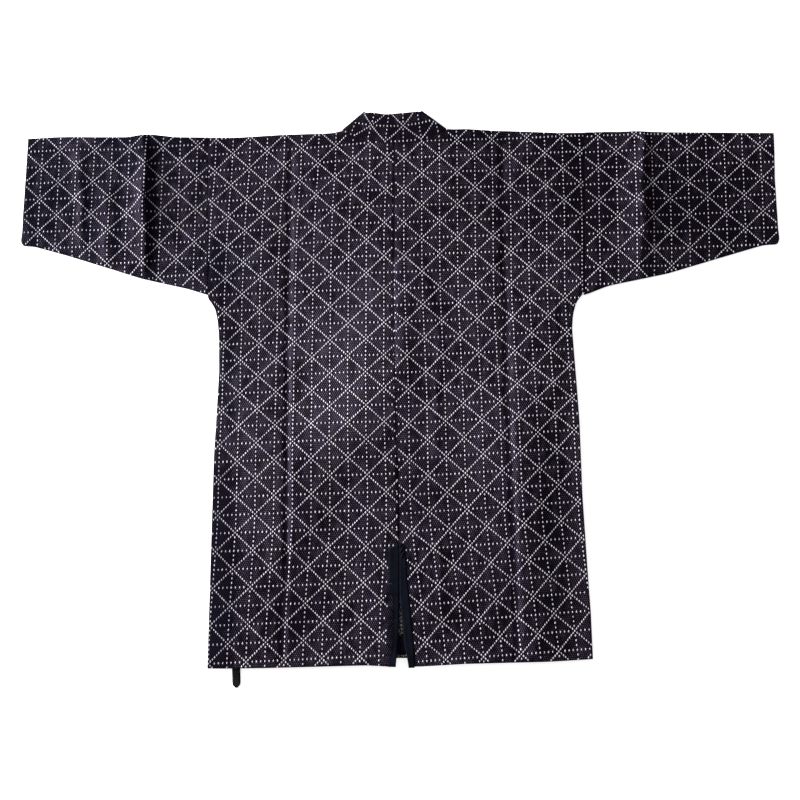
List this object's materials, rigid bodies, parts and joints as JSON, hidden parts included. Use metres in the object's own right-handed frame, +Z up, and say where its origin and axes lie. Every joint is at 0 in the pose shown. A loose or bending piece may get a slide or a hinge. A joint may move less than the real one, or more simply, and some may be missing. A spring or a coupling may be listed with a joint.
{
  "type": "kendo gi",
  "caption": "Martial arts jacket in heavy indigo cloth with a white diamond stitch pattern, laid flat face down with open sleeves, a banded collar and a slit in the centre back.",
  "frame": {"origin": "middle of the garment's outline, on the surface that it lies on", "axes": "+X to the wearer's right sleeve as the garment lies face down, +Y towards the collar, +Z up"},
  "size_m": [1.179, 0.8892, 0.0155],
  "materials": {
    "woven_cloth": "matt heavy cotton weave, dark indigo with raised white stitches",
    "collar_cloth": "the same cloth, doubled into a band",
    "cotton_tape": "plain navy cotton tape",
    "tie_tape": "plain black cotton tape"
  },
  "bodies": {
    "root": {"body_left": "woven_cloth", "body_right": "woven_cloth", "sleeve_left": "woven_cloth", "sleeve_right": "woven_cloth", "overlap_left": "woven_cloth", "overlap_right": "woven_cloth", "collar": "collar_cloth", "slit_binding_left": "cotton_tape", "slit_binding_right": "cotton_tape", "hem_facing": "cotton_tape", "tie_inner_left": "tie_tape", "tie_inner_right": "tie_tape", "tie_outer_left": "tie_tape", "tie_outer_right": "tie_tape"}
  },
  "joints": []
}
